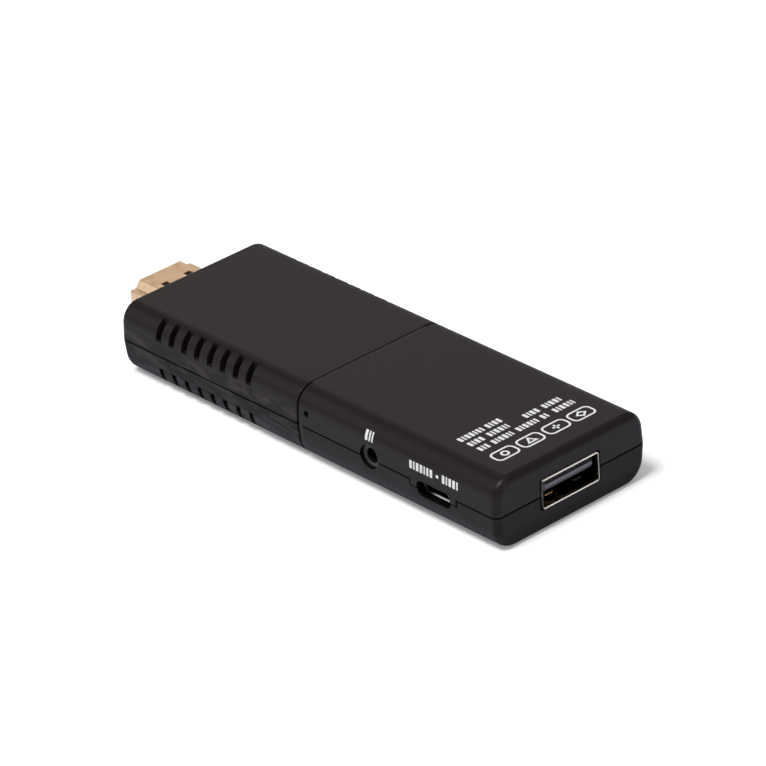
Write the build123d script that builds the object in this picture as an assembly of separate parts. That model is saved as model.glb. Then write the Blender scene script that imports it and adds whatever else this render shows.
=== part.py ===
from build123d import *
import os

os.makedirs("parts", exist_ok=True)

# A flat plug-in streaming stick. Millimetres.
# X runs along the stick, plug end at -X and host socket end at +X.
# -Y is the side with the sensor jack and the power socket. Z = 0 is the surface it lies on.

# Casing
CASE_LENGTH = 94.5
CASE_WIDTH = 34.0
CASE_HEIGHT = 13.3
PARTING_Z = 6.8
TOP_EDGE_R = 3.6
BOTTOM_EDGE_R = 4.3
UPPER_SIDE_SLOPE = 0.075
LOWER_SIDE_SLOPE = 0.072
LOWER_END_SLOPE = 0.05
HOST_END_R = 1.35
PLUG_END_R = 1.05
COLLAR_SIDE_R = 0.02
WALL = 1.4
PARTING_GAP = 0.32

# Plug and sockets, standard sizes
PLUG_REACH = 10.8
PLUG_WIDTH = 13.9
PLUG_HEIGHT = 4.45
PLUG_NARROW_WIDTH = 9.4
PLUG_SLANT_FOOT_WIDTH = 11.3
PLUG_SLANT_DROP = 1.27
PLUG_SHEET = 0.3
PLUG_BEND_R = 0.22
PLUG_Y = 1.0
PLUG_HOLE_GAP = 0.08
HOST_WIDTH = 13.1
HOST_HEIGHT = 5.55
HOST_DEPTH = 14.0
HOST_SHEET = 0.3
HOST_CORNER_R = 0.65
HOST_PROUD = 0.2
HOST_Y = -0.5
HOST_HOLE_GAP = 0.1
HOST_HOLE_FAR_GAP = 0.4
HOST_HOLE_LOW_GAP = 0.3
RIM_R = 0.12
POWER_WIDTH = 7.5
POWER_HEIGHT = 2.45
POWER_DEPTH = 5.2
POWER_SHEET = 0.25
POWER_BEVEL = 0.2
POWER_HOLE_WIDTH = 8.0
POWER_HOLE_HEIGHT = 2.9
POWER_TAB_HALF = 5.4
POWER_TAB_DROP = 0.95
POWER_TAB_GAP = 0.3
POWER_FROM_END = 15.07
JACK_HOLE_D = 4.4
JACK_NOSE_D = 4.15
JACK_BORE_R = 1.35
JACK_FROM_END = 30.6
JACK_Z = PARTING_Z + 0.26
PLUG_AXIS_Z = PARTING_Z + 0.18
HOST_AXIS_Z = PARTING_Z + 0.32

# Seam between the two casing halves, and the collar that joins them
SEAM_FROM_END = 48.46
SEAM_GAP = 0.4
SEAM_TOP_DEPTH = 0.24
SEAM_SIDE_DEPTH = 0.45
SEAM_BED_GAP = 0.04
RIB_WIDTH = 0.98
SLEEVE_REACH = 3.4
SLEEVE_CLEARANCE = 0.05
SLEEVE_WALL = 0.8
SEAM_EDGE_R = 0.18

# Air slots
SLOT_COUNT = 8
SLOT_PITCH = 3.36
SLOT_WIDTH = 1.45
LOWER_SLOT_WIDTH = 1.15
FIRST_SLOT_FROM_END = 84.35
SLOT_START = 2.8
SLOT_REACH_IN = 2.45
LOWER_SLOT_START = 2.5
LOWER_SLOT_REACH_IN = 1.35

# Reset pinhole and its switch
PINHOLE_FROM_END = 46.1
PINHOLE_Z = PARTING_Z + 2.6
PINHOLE_D = 1.2

# Board
BOARD_TOP = PARTING_Z - 2.2
BOARD_THICK = 1.2
BOARD_HALF_WIDTH = 14.7
BOARD_NECK_HALF_WIDTH = 13.2

# Lip of the lower shells inside the skirt of the upper ones
LIP_HEIGHT = 1.0
LIP_OUTER = 0.75
SKIRT = 0.7

# Places that follow
TOTAL_LENGTH = CASE_LENGTH + PLUG_REACH + HOST_PROUD
X_END = TOTAL_LENGTH / 2 - HOST_PROUD
X_FRONT = X_END - CASE_LENGTH
X_TIP = X_FRONT - PLUG_REACH
HALF_WIDTH = CASE_WIDTH / 2
SEAM_X = X_END - SEAM_FROM_END
RIB_X = SEAM_X + SEAM_GAP
REAR_X = RIB_X + RIB_WIDTH
JACK_X = X_END - JACK_FROM_END
POWER_X = X_END - POWER_FROM_END
POWER_Z = BOARD_TOP + POWER_HEIGHT / 2
PINHOLE_X = X_END - PINHOLE_FROM_END
BOARD_BOTTOM = BOARD_TOP - BOARD_THICK
UPPER_Z = PARTING_Z + PARTING_GAP / 2
LOWER_Z = PARTING_Z - PARTING_GAP / 2
CEILING_Z = CASE_HEIGHT - WALL
FLOOR_Z = WALL
PAST = 2.0


def block(x0, x1, y0, y1, z0, z1):
    """A box between two corners."""
    return Pos((x0 + x1) / 2, (y0 + y1) / 2, (z0 + z1) / 2) * Box(x1 - x0, y1 - y0, z1 - z0)


def chip(x, y, z, length, width, height):
    """A box standing on height z with its middle at x, y."""
    return block(x - length / 2, x + length / 2, y - width / 2, y + width / 2, z, z + height)


def rod(x, y, z, radius, height):
    """An upright cylinder standing on z."""
    return Pos(x, y, z + height / 2) * Cylinder(radius, height)


def rod_y(x, z, radius, y0, y1):
    """A cylinder along Y."""
    return Pos(x, (y0 + y1) / 2, z) * Rot(90, 0, 0) * Cylinder(radius, y1 - y0)


def group(solids):
    """Several separate solids that share one node."""
    return Compound(children=list(solids))


def save(name, shape):
    export_step(shape, f"parts/{name}.step")


# Section of the casing, seen along X, inset from its outside

def upper_section(inset, foot_z):
    top_z = CASE_HEIGHT - inset
    low = HALF_WIDTH - inset - UPPER_SIDE_SLOPE * (foot_z - PARTING_Z)
    high = HALF_WIDTH - inset - UPPER_SIDE_SLOPE * (top_z - PARTING_Z)
    face = make_face(Polyline((-low, foot_z), (low, foot_z), (high, top_z), (-high, top_z), close=True))
    return fillet(face.vertices().group_by(Axis.Y)[-1], TOP_EDGE_R - inset)


def lower_section(inset, head_z):
    low = HALF_WIDTH - inset - LOWER_SIDE_SLOPE * (PARTING_Z - inset)
    high = HALF_WIDTH - inset - LOWER_SIDE_SLOPE * (PARTING_Z - head_z)
    face = make_face(Polyline((-low, inset), (low, inset), (high, head_z), (-high, head_z), close=True))
    return fillet(face.vertices().group_by(Axis.Y)[0], BOTTOM_EDGE_R - inset)


def along_x(section, x0, x1):
    return extrude(Plane.YZ.offset(x0) * section, x1 - x0)


def round_ends(solid, radius0, radius1, flat_z):
    """Rounds the outer edges at both ends, but not the edges that lie on the parting plane."""
    for which, radius in ((0, radius0), (-1, radius1)):
        face = solid.faces().sort_by(Axis.X)[which]
        loop = [e for e in face.edges() if abs(e.center().Z - flat_z) > 1e-4]
        solid = fillet(loop, radius)
    return solid


def upper_body(x0, x1, radius0, radius1):
    body = along_x(upper_section(0, UPPER_Z), x0, x1)
    return round_ends(body, radius0, radius1, UPPER_Z)


def lower_body(x0, x1, radius0, radius1, lean_x, outward):
    """Its end face at lean_x leans inwards below the parting plane. outward is -1 or 1."""
    foot_x = lean_x - outward * LOWER_END_SLOPE * (LOWER_Z + PAST)
    away_x = lean_x + outward * PAST
    wedge = make_face(Polyline(
        (lean_x, LOWER_Z), (away_x, LOWER_Z), (away_x, -PAST), (foot_x, -PAST), close=True,
    ))
    body = along_x(lower_section(0, LOWER_Z), x0, x1) - extrude(Plane.XZ * wedge, CASE_WIDTH, both=True)
    return round_ends(body, radius0, radius1, LOWER_Z)


# What is cut through the casing

def slot_y(x, z, width, height, y0, y1):
    """A slot shape with well-rounded corners, along Y."""
    sketch = RectangleRounded(width, height, height * 0.38)
    return extrude(Plane((x, y0, z), x_dir=(1, 0, 0), z_dir=(0, 1, 0)) * sketch, y1 - y0)


def plug_section(grow):
    """The plug's outline, narrow side up, seen along X and centred on its own middle."""
    half = PLUG_WIDTH / 2
    top = PLUG_HEIGHT / 2
    narrow = PLUG_NARROW_WIDTH / 2
    foot = PLUG_SLANT_FOOT_WIDTH / 2
    shelf = top - PLUG_SLANT_DROP
    face = make_face(Polyline(
        (-half, -top), (half, -top), (half, shelf), (foot, shelf), (narrow, top),
        (-narrow, top), (-foot, shelf), (-half, shelf), close=True,
    ))
    return offset(face, grow, kind=Kind.INTERSECTION) if grow else face


def plug_prism(grow, x0, x1):
    return along_x(Pos(PLUG_Y, PLUG_AXIS_Z) * plug_section(grow), x0, x1)


def host_prism(grow, x0, x1):
    half_w = HOST_WIDTH / 2 + grow
    half_h = HOST_HEIGHT / 2 + grow
    prism = block(x0, x1, HOST_Y - half_w, HOST_Y + half_w, HOST_AXIS_Z - half_h, HOST_AXIS_Z + half_h)
    return fillet(prism.edges().filter_by(Axis.X), HOST_CORNER_R + grow)


def host_opening():
    """The hole in the end wall, wider than the socket on the far side and below it."""
    y0 = HOST_Y - HOST_WIDTH / 2 - HOST_HOLE_GAP
    y1 = HOST_Y + HOST_WIDTH / 2 + HOST_HOLE_FAR_GAP
    z0 = HOST_AXIS_Z - HOST_HEIGHT / 2 - HOST_HOLE_LOW_GAP
    z1 = HOST_AXIS_Z + HOST_HEIGHT / 2 + HOST_HOLE_GAP
    hole = block(X_END - WALL - PAST, X_END + PAST, y0, y1, z0, z1)
    return fillet(hole.edges().filter_by(Axis.X), HOST_CORNER_R)


def side_openings():
    """The jack hole, the power socket hole and the pinhole in the near side wall."""
    outside = -HALF_WIDTH - PAST
    inside = -HALF_WIDTH + WALL + 0.5
    jack = rod_y(JACK_X, JACK_Z, JACK_HOLE_D / 2, outside, inside)
    power = slot_y(POWER_X, POWER_Z, POWER_HOLE_WIDTH, POWER_HOLE_HEIGHT, outside, inside)
    pin = rod_y(PINHOLE_X, PINHOLE_Z, PINHOLE_D / 2, outside, inside + 1.0)
    return jack + power + pin


def air_slots():
    cuts = []
    for side in (-1, 1):
        outside = side * (HALF_WIDTH + PAST)
        y_edges = sorted((outside, side * (HALF_WIDTH - SLOT_REACH_IN)))
        lower_y_edges = sorted((outside, side * (HALF_WIDTH - LOWER_SLOT_REACH_IN)))
        for i in range(SLOT_COUNT):
            x = X_END - FIRST_SLOT_FROM_END + i * SLOT_PITCH
            x_edges = (x - SLOT_WIDTH / 2, x + SLOT_WIDTH / 2)
            lower_x_edges = (x - LOWER_SLOT_WIDTH / 2, x + LOWER_SLOT_WIDTH / 2)
            cuts.append(block(*x_edges, *y_edges, PARTING_Z + SLOT_START, CASE_HEIGHT + PAST))
            cuts.append(block(*lower_x_edges, *lower_y_edges, -PAST, PARTING_Z - LOWER_SLOT_START))
    return cuts


# Posts that hold the board, and snap ridges

FRONT_POSTS = [(-35.0, -12.4), (-35.0, 12.4)]
REAR_POSTS = [(11.6, -12.9), (11.6, 12.9), (47.4, -12.4), (47.4, 12.4)]
POST_R = 1.7
PIN_R = 0.75
PIN_CLEARANCE = 0.06
PIN_TOP = BOARD_TOP + 1.4


def lower_posts(places):
    solids = []
    for x, y in places:
        solids.append(rod(x, y, FLOOR_Z - 0.4, POST_R, BOARD_BOTTOM - FLOOR_Z + 0.4))
        solids.append(rod(x, y, FLOOR_Z, PIN_R, PIN_TOP - FLOOR_Z))
    return solids


def upper_posts(places):
    solids = []
    for x, y in places:
        post = rod(x, y, BOARD_TOP, POST_R, CEILING_Z + 0.4 - BOARD_TOP)
        solids.append(post - rod(x, y, BOARD_TOP, PIN_R + PIN_CLEARANCE, PIN_TOP + 0.3 - BOARD_TOP))
    return solids


RIDGE_LENGTH = 6.0
RIDGE_Z = PARTING_Z + 0.55


def ridges(places, out, half_height):
    """Snap ridges along the lip, or with larger values the grooves that take them."""
    solids = []
    for x in places:
        for side in (-1, 1):
            y_edges = sorted((side * (HALF_WIDTH - LIP_OUTER - 0.1), side * (HALF_WIDTH - LIP_OUTER + out)))
            half = RIDGE_LENGTH / 2 + out - 0.12
            solids.append(block(x - half, x + half, *y_edges, RIDGE_Z - half_height, RIDGE_Z + half_height))
    return solids


FRONT_RIDGES = [-33.0, -4.5]
REAR_RIDGES = [12.5, 46.0]


def collar_ridges(out, half_length):
    """Ridges on the collar's top and bottom, or the grooves that take them."""
    low = SLEEVE_CLEARANCE + WALL
    solids = []
    for x in (SEAM_X - 1.7, REAR_X + 1.7):
        for y in (-6.0, 6.0):
            x_edges = (x - half_length, x + half_length)
            y_edges = (y - 3.0 - out, y + 3.0 + out)
            solids.append(block(*x_edges, *y_edges, CASE_HEIGHT - low - 0.1, CASE_HEIGHT - low + out))
            solids.append(block(*x_edges, *y_edges, low - out, low + 0.1))
    return solids


# The four casing shells

def lip(x0, x1, end_x):
    """Inner lip of a lower shell: two long walls and one across the closed end."""
    outer = HALF_WIDTH - LIP_OUTER
    inner = HALF_WIDTH - WALL
    z0 = LOWER_Z - 0.5
    z1 = PARTING_Z + LIP_HEIGHT
    frame = block(x0, x1, -outer, outer, z0, z1)
    core = block(x0 - PAST, x1 + PAST, -inner, inner, z0 - PAST, z1 + PAST)
    walls = frame - core
    end = block(*end_x, -outer, outer, z0, z1)
    return walls + end


def tab_block(grow):
    """The upper shell drops a little around the power socket. With grow it is the notch for that tab."""
    half = POWER_TAB_HALF + grow
    depth = POWER_TAB_DROP + grow
    y0 = -HALF_WIDTH - (PAST if grow else 0)
    y1 = -HALF_WIDTH + SKIRT + (LIP_OUTER - SKIRT if grow else 0)
    return block(POWER_X - half, POWER_X + half, y0, y1, LOWER_Z - depth + 0.1, UPPER_Z + 0.1)


def front_upper_shell():
    shell = upper_body(X_FRONT, SEAM_X, PLUG_END_R, SEAM_EDGE_R)
    shell -= along_x(upper_section(WALL, UPPER_Z - PAST), X_FRONT + WALL, SEAM_X + PAST)
    skirt_half = HALF_WIDTH - SKIRT
    shell -= block(X_FRONT + SKIRT, SEAM_X + PAST, -skirt_half, skirt_half, 0, PARTING_Z + LIP_HEIGHT)
    shell += upper_posts(FRONT_POSTS)
    shell -= ridges(FRONT_RIDGES, 0.2, 0.22)
    shell -= collar_ridges(0.22, 0.35)
    shell -= plug_prism(PLUG_HOLE_GAP, X_FRONT - PAST, X_FRONT + WALL + PAST)
    return shell - air_slots()


def front_lower_shell():
    shell = lower_body(X_FRONT, SEAM_X, PLUG_END_R, SEAM_EDGE_R, X_FRONT, -1)
    shell -= along_x(lower_section(WALL, LOWER_Z + PAST), X_FRONT + WALL, SEAM_X + PAST)
    shell += lip(X_FRONT + LIP_OUTER, SEAM_X, (X_FRONT + LIP_OUTER, X_FRONT + WALL))
    shell += lower_posts(FRONT_POSTS)
    shell += ridges(FRONT_RIDGES, 0.12, 0.15)
    shell -= collar_ridges(0.22, 0.35)
    shell -= plug_prism(PLUG_HOLE_GAP, X_FRONT - PAST, X_FRONT + WALL + PAST)
    return shell - air_slots()


def rear_upper_shell():
    shell = upper_body(REAR_X, X_END, COLLAR_SIDE_R, HOST_END_R)
    shell += tab_block(0)
    shell -= along_x(upper_section(WALL, UPPER_Z - PAST), REAR_X - PAST, X_END - WALL)
    skirt_half = HALF_WIDTH - SKIRT
    shell -= block(REAR_X - PAST, X_END - SKIRT, -skirt_half, skirt_half, 0, PARTING_Z + LIP_HEIGHT)
    shell += upper_posts(REAR_POSTS)
    shell -= ridges(REAR_RIDGES, 0.2, 0.22)
    shell -= collar_ridges(0.22, 0.35)
    shell -= host_opening()
    return shell - side_openings()


def rear_lower_shell():
    shell = lower_body(REAR_X, X_END, COLLAR_SIDE_R, HOST_END_R, X_END, 1)
    shell -= tab_block(POWER_TAB_GAP)
    shell -= along_x(lower_section(WALL, LOWER_Z + PAST), REAR_X - PAST, X_END - WALL)
    shell += lip(REAR_X, X_END - LIP_OUTER, (X_END - WALL, X_END - LIP_OUTER))
    shell += lower_posts(REAR_POSTS)
    shell += ridges(REAR_RIDGES, 0.12, 0.15)
    shell -= collar_ridges(0.22, 0.35)
    shell -= host_opening()
    return shell - side_openings()


def seam_collar():
    """One ring that shows as a narrow band behind the seam, with a sleeve under all four shells."""
    outer = SLEEVE_CLEARANCE + WALL
    inner = outer + SLEEVE_WALL
    rib = along_x(upper_section(0, PARTING_Z), RIB_X, REAR_X)
    rib += along_x(lower_section(0, PARTING_Z), RIB_X, REAR_X)
    loop = [e for e in rib.edges() if abs(e.center().X - RIB_X) < 1e-4]
    rib = fillet(loop, SEAM_EDGE_R)
    x0 = SEAM_X - SLEEVE_REACH
    x1 = REAR_X + SLEEVE_REACH
    sleeve = along_x(upper_section(outer, PARTING_Z), x0, x1)
    sleeve += along_x(lower_section(outer, PARTING_Z), x0, x1)
    bore = along_x(upper_section(inner, PARTING_Z), x0 - PAST, x1 + PAST)
    bore += along_x(lower_section(inner, PARTING_Z), x0 - PAST, x1 + PAST)
    # A bed lies under the seam's groove all round, and closer to the surface across the top
    bed_x = (SEAM_X + SEAM_BED_GAP, RIB_X + 0.2)
    bed = along_x(upper_section(SEAM_SIDE_DEPTH, PARTING_Z), *bed_x)
    bed += along_x(lower_section(SEAM_SIDE_DEPTH, PARTING_Z), *bed_x)
    bed_half = HALF_WIDTH - TOP_EDGE_R - 0.5
    bed += block(*bed_x, -bed_half, bed_half, CASE_HEIGHT - outer - 0.1, CASE_HEIGHT - SEAM_TOP_DEPTH)
    ring = rib + sleeve + bed + collar_ridges(0.15, 0.25) - bore
    # A notch clears the reset switch behind the pinhole
    return ring - block(REAR_X, x1 + PAST, -HALF_WIDTH, -8.5, PARTING_Z, CASE_HEIGHT)


# Board

PLUG_LEGS_X = [-38.6, -36.0]
LEG_LENGTH = 1.2
HOST_BACK = X_END + HOST_PROUD - HOST_DEPTH


def main_board():
    x1 = X_END - WALL - 0.25
    board = block(X_FRONT + 1.9, x1, -BOARD_HALF_WIDTH, BOARD_HALF_WIDTH, BOARD_BOTTOM, BOARD_TOP)
    for side in (-1, 1):
        y_edges = sorted((side * BOARD_NECK_HALF_WIDTH, side * (BOARD_HALF_WIDTH + PAST)))
        x_edges = (SEAM_X - SLEEVE_REACH - 0.4, REAR_X + SLEEVE_REACH + 0.4)
        board -= block(*x_edges, *y_edges, 0, BOARD_TOP + PAST)
    half = HOST_WIDTH / 2 + 0.1
    board -= block(HOST_BACK - 0.1, X_END, HOST_Y - half, HOST_Y + half, 0, BOARD_TOP + PAST)
    for x, y in FRONT_POSTS + REAR_POSTS:
        board -= rod(x, y, 0, PIN_R + PIN_CLEARANCE, BOARD_TOP + PAST)
    for x in PLUG_LEGS_X:
        for side in (-1, 1):
            y = PLUG_Y + side * (PLUG_WIDTH / 2 - PLUG_SHEET / 2)
            board -= chip(x, y, 0, LEG_LENGTH + 0.3, PLUG_SHEET + 0.3, BOARD_TOP + PAST)
    return board


# Display plug

PLUG_BACK = X_FRONT + 7.0
LATCH_FROM_TIP = 4.2
LATCH_LENGTH = 1.8
LATCH_WIDTH = 1.4
LATCH_SPACING = 5.2
PIN_COUNT = 19
PIN_PITCH = 0.5
PIN_WIDTH = 0.3
PIN_THICK = 0.15
PIN_FROM_TIP = 2.0
PIN_TAIL = 2.0
PLUG_SLOT_HALF_WIDTH = 5.9
PLUG_SLOT_HEIGHT = 1.9
PLUG_SLOT_DEPTH = 9.2


def display_plug_shell():
    shell = plug_prism(0, X_TIP, PLUG_BACK)
    shell = fillet(shell.edges().filter_by(Axis.X), PLUG_BEND_R)
    edges = [e for e in shell.edges() if abs(e.center().X - X_TIP) < 1e-4]
    shell = fillet(edges, RIM_R)
    shell -= plug_prism(-PLUG_SHEET, X_TIP - PAST, PLUG_BACK + PAST)
    for side in (-1, 1):
        y = PLUG_Y + side * LATCH_SPACING / 2
        x = X_TIP + LATCH_FROM_TIP + LATCH_LENGTH / 2
        shell -= chip(x, y, 0, LATCH_LENGTH, LATCH_WIDTH, CASE_HEIGHT)
    for x in PLUG_LEGS_X:
        for side in (-1, 1):
            y = PLUG_Y + side * (PLUG_WIDTH / 2 - PLUG_SHEET / 2)
            shell += chip(x, y, BOARD_BOTTOM - 0.5, LEG_LENGTH, PLUG_SHEET, 2.5)
    return shell


def plug_pins():
    """Two staggered rows of flat pins that bend down to the board behind the plug."""
    pins = []
    middle = (PIN_COUNT - 1) / 2
    upper_z = PLUG_AXIS_Z + PLUG_SLOT_HEIGHT / 2 - PIN_THICK
    lower_z = PLUG_AXIS_Z - PLUG_SLOT_HEIGHT / 2
    for i in range(PIN_COUNT):
        y = PLUG_Y + (i - middle) * PIN_PITCH
        z, bend_x = (upper_z, PLUG_BACK + 0.9) if i % 2 == 0 else (lower_z, PLUG_BACK + 0.4)
        y_edges = (y - PIN_WIDTH / 2, y + PIN_WIDTH / 2)
        pin = block(X_TIP + PIN_FROM_TIP, bend_x + PIN_THICK, *y_edges, z, z + PIN_THICK)
        pin += block(bend_x, bend_x + PIN_THICK, *y_edges, BOARD_TOP, z + PIN_THICK)
        pin += block(bend_x, PLUG_BACK + PIN_TAIL, *y_edges, BOARD_TOP, BOARD_TOP + PIN_THICK)
        pins.append(pin)
    return pins


def display_plug_insulator(pins):
    body = plug_prism(-PLUG_SHEET - 0.03, X_TIP + 1.2, PLUG_BACK)
    y_edges = (PLUG_Y - PLUG_SLOT_HALF_WIDTH, PLUG_Y + PLUG_SLOT_HALF_WIDTH)
    half_h = PLUG_SLOT_HEIGHT / 2
    z_edges = (PLUG_AXIS_Z - half_h, PLUG_AXIS_Z + half_h)
    slot = block(X_TIP - PAST, X_TIP + PLUG_SLOT_DEPTH, *y_edges, *z_edges)
    return body - slot - pins


# Host socket

TONGUE_GAP = 0.62
TONGUE_THICK = 1.84
TONGUE_WIDTH = 11.1
TONGUE_BACK_SET = 0.3
TONGUE_LIP = 1.05
TONGUE_STEP = 0.6
TONGUE_NOSE_CHAMFER = 0.42
HOST_PIN_Y = [-3.5, -1.0, 1.0, 3.5]
SPRING_LENGTH = 7.0
SPRING_WIDTH = 1.7
FLOOR_SPRING_TILT = 7.0
ROOF_SPRING_TILT = 4.5
SPRING_THICK = 0.2
SPRING_Y = 3.2
SPRING_ROOT = 8.6
HOST_LEG_LENGTH = 1.6


def host_springs():
    """Leaf springs bent inward from the shell, two in the floor and two in the roof, with their windows."""
    windows = []
    leaves = []
    root_x = X_END + HOST_PROUD - SPRING_ROOT
    window = (SPRING_LENGTH + 0.6, SPRING_WIDTH + 0.6, 1.0)
    for roof, tilt in ((-1, FLOOR_SPRING_TILT), (1, ROOF_SPRING_TILT)):
        z = HOST_AXIS_Z + roof * (HOST_HEIGHT / 2 - HOST_SHEET / 2)
        for side in (-1, 1):
            y = HOST_Y + side * SPRING_Y
            windows.append(chip(root_x + window[0] / 2, y, z - window[2] / 2, *window))
            leaf = Pos(SPRING_LENGTH / 2 - 0.4, 0, 0) * Box(SPRING_LENGTH, SPRING_WIDTH, SPRING_THICK)
            leaves.append(Pos(root_x, y, z) * Rot(0, roof * tilt, 0) * leaf)
    return windows, leaves


def host_socket_shell():
    front = X_END + HOST_PROUD
    shell = host_prism(0, HOST_BACK, front)
    rim = [e for e in shell.edges() if abs(e.center().X - front) < 1e-4]
    shell = fillet(rim, RIM_R)
    shell -= host_prism(-HOST_SHEET, HOST_BACK + HOST_SHEET, front + PAST)
    # The tails leave through a gap low in the back
    gap_end = HOST_BACK + HOST_SHEET + 0.1
    shell -= block(HOST_BACK - PAST, gap_end, HOST_Y - 5.0, HOST_Y + 5.0, 0, BOARD_TOP + 1.0)
    windows, leaves = host_springs()
    shell -= windows
    shell += leaves
    for x in (HOST_BACK + 3.0, HOST_BACK + 9.0):
        for side in (-1, 1):
            y = HOST_Y + side * (HOST_WIDTH / 2 - HOST_SHEET / 2)
            shell += chip(x, y, BOARD_BOTTOM - 0.6, HOST_LEG_LENGTH, HOST_SHEET, 2.6)
    return shell


def tongue_z():
    top = HOST_AXIS_Z + HOST_HEIGHT / 2 - HOST_SHEET - TONGUE_GAP
    return top - TONGUE_THICK, top


def host_socket_pins():
    """Four flat contacts under the tongue, with tails that step down behind the socket."""
    z0 = tongue_z()[0]
    front = X_END + HOST_PROUD
    pins = []
    for offset in HOST_PIN_Y:
        y_edges = (HOST_Y + offset - 0.5, HOST_Y + offset + 0.5)
        tail_edges = (HOST_Y + offset - 0.35, HOST_Y + offset + 0.35)
        pin = block(HOST_BACK + 1.6, front - 2.2, *y_edges, z0 - 0.1, z0 + 0.15)
        pin += block(HOST_BACK + 1.6, HOST_BACK + 1.85, *tail_edges, BOARD_TOP + 0.3, z0 + 0.15)
        pin += block(HOST_BACK - 1.4, HOST_BACK + 1.85, *tail_edges, BOARD_TOP + 0.3, BOARD_TOP + 0.55)
        pin += block(HOST_BACK - 1.4, HOST_BACK - 1.15, *tail_edges, BOARD_TOP, BOARD_TOP + 0.55)
        pins.append(pin)
    return pins


def host_socket_insulator(pins):
    z0, z1 = tongue_z()
    front = X_END + HOST_PROUD - TONGUE_BACK_SET
    half = TONGUE_WIDTH / 2
    tongue = block(HOST_BACK + 3.0, front, HOST_Y - half, HOST_Y + half, z0, z1)
    y_edges = (HOST_Y - half - PAST, HOST_Y + half + PAST)
    tongue -= block(front - TONGUE_STEP, front + PAST, *y_edges, z0 - PAST, z1 - TONGUE_LIP)
    nose = [
        e for e in tongue.edges()
        if abs(e.center().X - front) < 1e-4 and e.center().Z > z1 - TONGUE_LIP + 1e-4
    ]
    tongue = chamfer(nose, TONGUE_NOSE_CHAMFER)
    back = host_prism(-HOST_SHEET - 0.05, HOST_BACK + HOST_SHEET + 0.05, HOST_BACK + 3.4)
    return tongue + back - pins


# Power socket

POWER_FRONT = -HALF_WIDTH + 1.5
POWER_BACK = POWER_FRONT + POWER_DEPTH
POWER_PIN_PITCH = 0.65


def power_section(shrink):
    """Outline with two corners cut at the bottom, seen along Y."""
    half = POWER_WIDTH / 2 - shrink
    high = POWER_HEIGHT / 2 - shrink
    cut = 0.75 - shrink * 0.4
    return make_face(Polyline(
        (-half, high), (half, high), (half, -high + cut), (half - cut, -high), (-half + cut, -high),
        (-half, -high + cut), close=True,
    ))


def power_prism(shrink, y0, y1):
    plane = Plane((POWER_X, y1, POWER_Z), x_dir=(1, 0, 0), z_dir=(0, -1, 0))
    return extrude(plane * power_section(shrink), y1 - y0)


def power_mouth():
    """The bevel round the inside of the shell's front edge."""
    plane = Plane((POWER_X, POWER_FRONT, POWER_Z), x_dir=(-1, 0, 0), z_dir=(0, 1, 0))
    return extrude(plane * power_section(POWER_SHEET - POWER_BEVEL), POWER_BEVEL, taper=45)


def power_socket_shell():
    shell = power_prism(0, POWER_FRONT, POWER_BACK)
    shell = fillet(shell.edges().filter_by(Axis.Y).group_by(Axis.Z)[-1], 0.3)
    shell -= power_prism(POWER_SHEET, POWER_FRONT - PAST, POWER_BACK + PAST)
    shell -= power_mouth()
    for side in (-1, 1):
        x = POWER_X + side * (POWER_WIDTH / 2 + 0.1)
        shell += chip(x, POWER_FRONT + 2.9, BOARD_TOP, 1.0, 1.3, 0.25)
        x = POWER_X + side * (POWER_WIDTH / 2 - 0.125)
        shell += chip(x, POWER_FRONT + 2.9, BOARD_TOP, 0.25, 1.3, 1.4)
    return shell


def power_pins():
    pins = []
    for i in range(5):
        x = POWER_X + (i - 2) * POWER_PIN_PITCH
        x_edges = (x - 0.17, x + 0.17)
        pin = block(*x_edges, POWER_FRONT + 1.1, POWER_BACK + 0.3, POWER_Z - 0.02, POWER_Z + 0.1)
        pin += block(*x_edges, POWER_BACK + 0.18, POWER_BACK + 0.3, BOARD_TOP, POWER_Z + 0.1)
        pin += block(*x_edges, POWER_BACK + 0.18, POWER_BACK + 1.1, BOARD_TOP, BOARD_TOP + 0.12)
        pins.append(pin)
    return pins


def power_socket_insulator(pins):
    y_edges = (POWER_FRONT + 0.6, POWER_BACK - 1.0)
    tongue = block(POWER_X - 1.85, POWER_X + 1.85, *y_edges, POWER_Z, POWER_Z + 0.55)
    back = power_prism(POWER_SHEET + 0.02, POWER_BACK - 1.4, POWER_BACK)
    return tongue + back - pins


# Sensor jack

JACK_FRONT = -HALF_WIDTH + WALL + 0.4
JACK_NOSE_TIP = -HALF_WIDTH + 0.72
JACK_BODY_LENGTH = 11.0
JACK_BODY_WIDTH = 6.0
JACK_BODY_HEIGHT = 2 * (JACK_Z - BOARD_TOP) - 0.1


def jack_springs():
    """Tip, ring and sleeve contacts in slots beside and above the bore."""
    back = JACK_FRONT + JACK_BODY_LENGTH
    left = block(JACK_X - 1.75, JACK_X - 1.55, JACK_NOSE_TIP + 5.2, back + 0.3, BOARD_TOP, JACK_Z + 0.5)
    right = block(JACK_X + 1.55, JACK_X + 1.75, JACK_NOSE_TIP + 5.2, back + 0.3, BOARD_TOP, JACK_Z + 0.5)
    above = block(JACK_X - 0.5, JACK_X + 0.5, JACK_NOSE_TIP + 5.2, back + 0.3, JACK_Z + 1.5, JACK_Z + 1.7)
    above += block(JACK_X - 0.5, JACK_X + 0.5, back + 0.1, back + 0.3, BOARD_TOP, JACK_Z + 1.7)
    return [left, right, above]


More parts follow.
